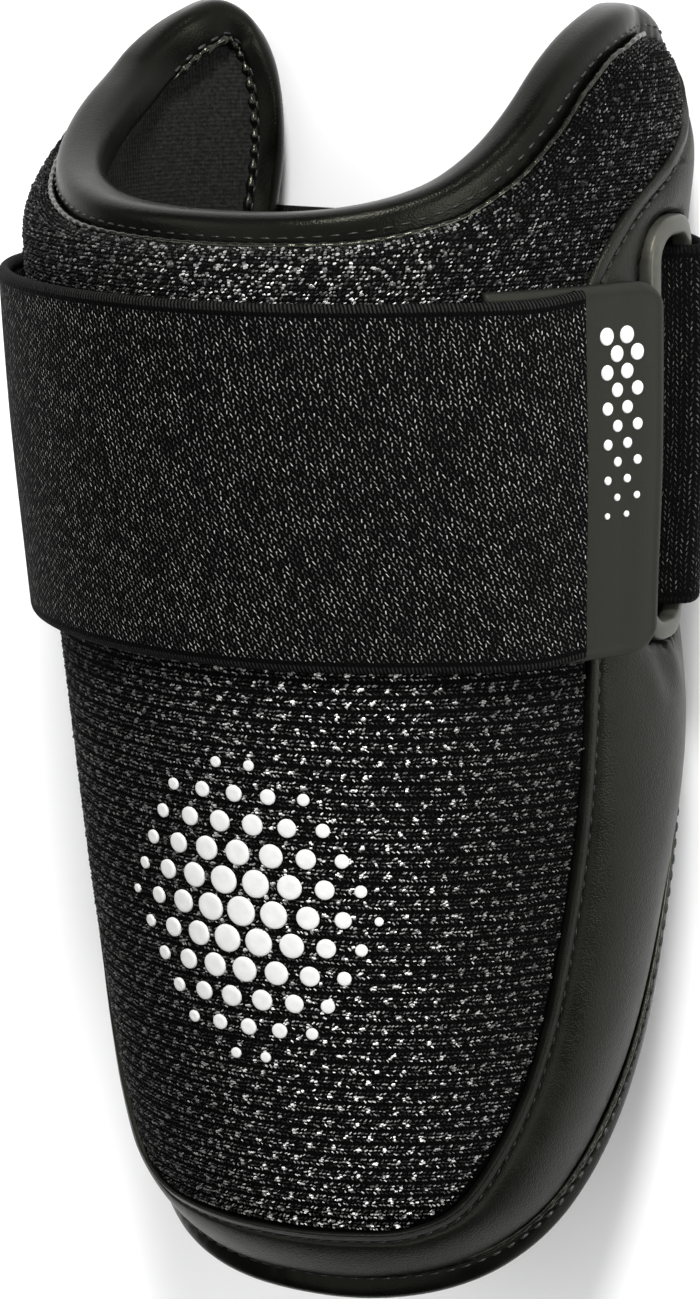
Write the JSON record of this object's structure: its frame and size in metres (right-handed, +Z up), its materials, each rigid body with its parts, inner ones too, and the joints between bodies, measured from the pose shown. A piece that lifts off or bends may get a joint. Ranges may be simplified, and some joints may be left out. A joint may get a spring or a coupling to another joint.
{
  "type": "elbow guard",
  "caption": "Padded half-shell elbow guard of dark mesh with a smooth border and rolled edge, closed round the arm by a wide elastic strap with a rubber pull tab.",
  "frame": {"origin": "middle of the guard's box, on the surface it lies on", "axes": "+Y along the arm from the toe to the scooped end, +Z up out of the front, +X across to the flap with the strap loop"},
  "size_m": [0.1296, 0.2328, 0.1013],
  "materials": {
    "lining": "charcoal brushed knit",
    "mesh": "black spacer mesh with a soft sheen",
    "leather": "smooth satin artificial leather",
    "plastic": "satin moulded plastic",
    "elastic": "matte woven elastic",
    "rubber": "matte moulded rubber"
  },
  "bodies": {
    "root": {"lining": "lining", "mesh_panel": "mesh", "leather_border": "leather", "edge_binding": "leather", "slot_frame": "plastic", "elastic_strap": "elastic", "pull_tab": "rubber"}
  },
  "joints": []
}
